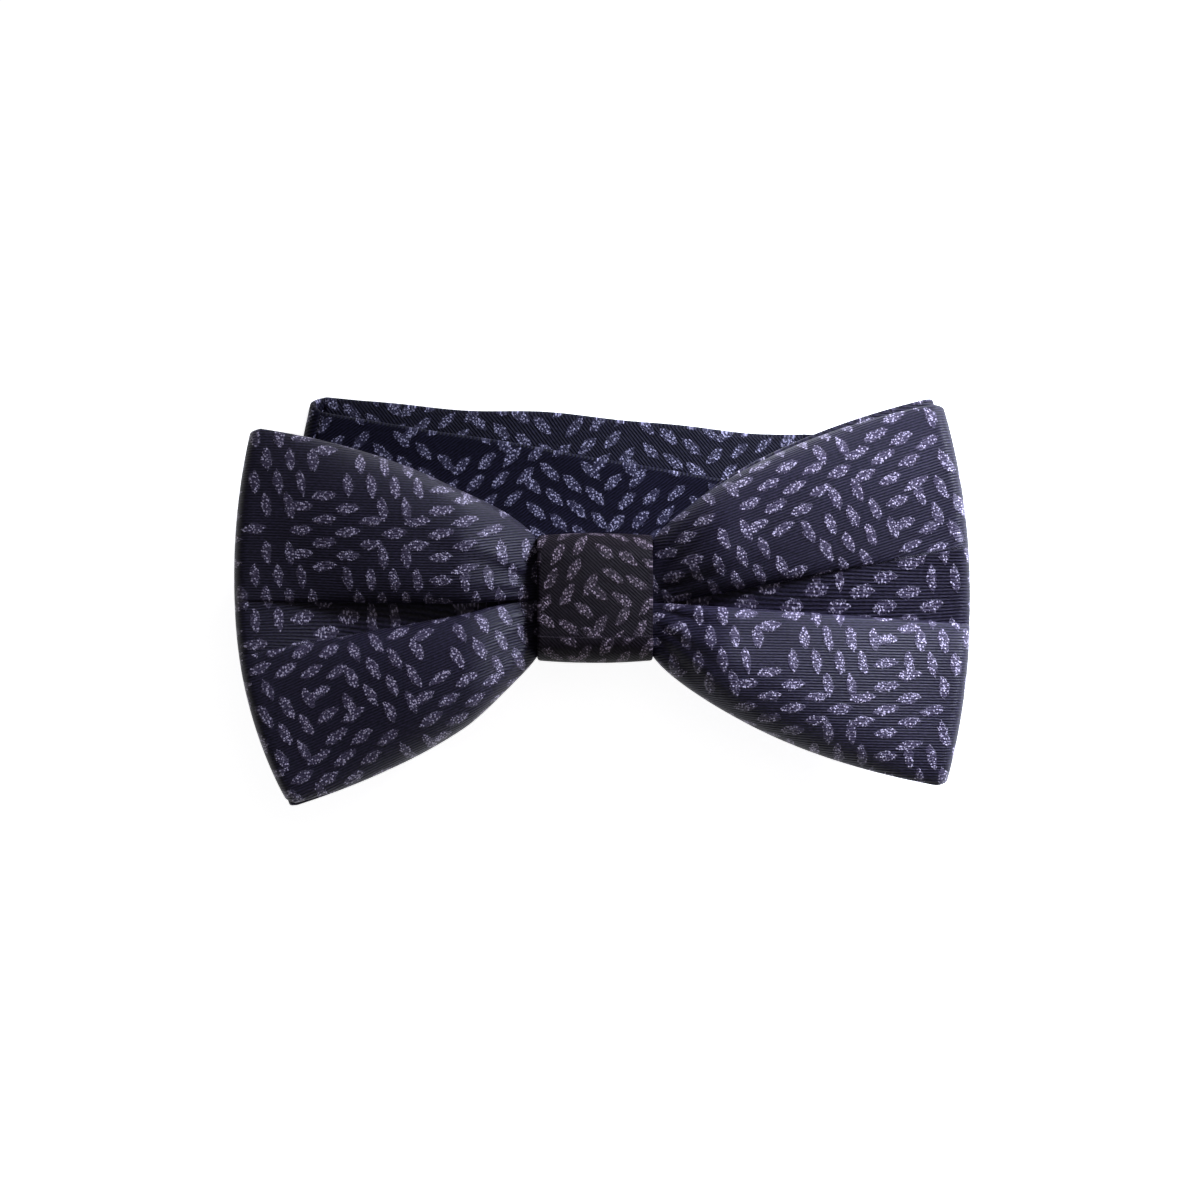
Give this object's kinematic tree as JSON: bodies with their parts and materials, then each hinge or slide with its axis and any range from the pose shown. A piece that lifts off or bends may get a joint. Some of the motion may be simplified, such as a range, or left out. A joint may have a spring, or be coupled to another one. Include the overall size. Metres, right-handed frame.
{
  "type": "bow tie",
  "caption": "Pre-tied bow tie in dark jacquard: doubled bow with creased wings, square padded knot, and a flat adjustable neck band folded up behind it, with hook, eye and slide adjuster.",
  "frame": {"origin": "middle of the underside of the bounding box, on the surface that the folded tie lies on", "axes": "+Z is the way the bow faces, up from the surface; +X runs along the bow, to the right as it is looked at; +Y is the bow's upper edge"},
  "size_m": [0.1208, 0.0672, 0.0201],
  "materials": {
    "jacquard": "ribbed jacquard with small leaf-shaped dashes",
    "knot_jacquard": "the same jacquard, turned so that its ribs slant",
    "canvas": "plain woven interlining",
    "wadding": "needled felt",
    "thread": "twisted sewing thread",
    "nickel": "nickel-plated steel, worn smooth"
  },
  "bodies": {
    "bow": {"front_bow": "jacquard", "front_bow_interlining": "canvas", "back_bow": "jacquard", "back_bow_interlining": "canvas", "knot_wrap": "knot_jacquard", "knot_pad": "wadding", "gathering_thread": "thread", "knot_seam": "thread", "band_centre": "jacquard", "left_fold": "jacquard", "right_fold": "jacquard"},
    "right_half": {"right_run": "jacquard", "right_turn": "jacquard"},
    "right_end": {"right_end": "jacquard", "eye_tacking": "thread"},
    "eye": {"eye": "nickel"},
    "left_half": {"left_run": "jacquard", "loop_run": "jacquard"},
    "adjuster": {"slide_adjuster": "nickel", "adjuster_tacking": "thread", "loop_lap": "jacquard"},
    "loop": {"loop_end": "jacquard"},
    "hook": {"hook": "nickel"}
  },
  "joints": [
    {"name": "right_unfold", "type": "hinge", "parent": "bow", "child": "right_half", "pos_m": [0.05579, 0.00475, 0.0053], "axis": [-0.0567, -0.9984, 0], "range_deg": [0, 180], "deforming": ["right_fold"]},
    {"name": "turn_unfold", "type": "hinge", "parent": "right_half", "child": "right_end", "pos_m": [-0.04857, 0.02466, 0.00225], "axis": [0.2079, 0.9781, 0], "range_deg": [0, 180], "deforming": ["right_turn"]},
    {"name": "eye_swivel", "type": "hinge", "parent": "right_end", "child": "eye", "pos_m": [0.04674, 0.01716, 0.0016], "axis": [0.0785, 0.9969, 0], "range_deg": [0, 85]},
    {"name": "left_unfold", "type": "hinge", "parent": "bow", "child": "left_half", "pos_m": [-0.05471, -0.00228, 0.00415], "axis": [-0.0175, 0.9998, 0], "range_deg": [0, 180], "deforming": ["left_fold"]},
    {"name": "adjuster_slide", "type": "slide", "parent": "left_half", "child": "adjuster", "axis": [-0.9986, 0.0523, 0], "range_m": [0, 0.018], "deforming": ["loop_run", "loop_lap"]},
    {"name": "loop_draw", "type": "slide", "parent": "left_half", "child": "loop", "axis": [-0.9986, 0.0523, 0], "range_m": [0, 0.009]},
    {"name": "hook_swivel", "type": "hinge", "parent": "loop", "child": "hook", "pos_m": [-0.02225, -0.00398, 0.0028], "axis": [0.0523, 0.9986, 0], "range_deg": [0, 85]}
  ],
  "couplings": [
    {"joint": "loop_draw", "follows": "adjuster_slide", "ratio": 0.5}
  ]
}
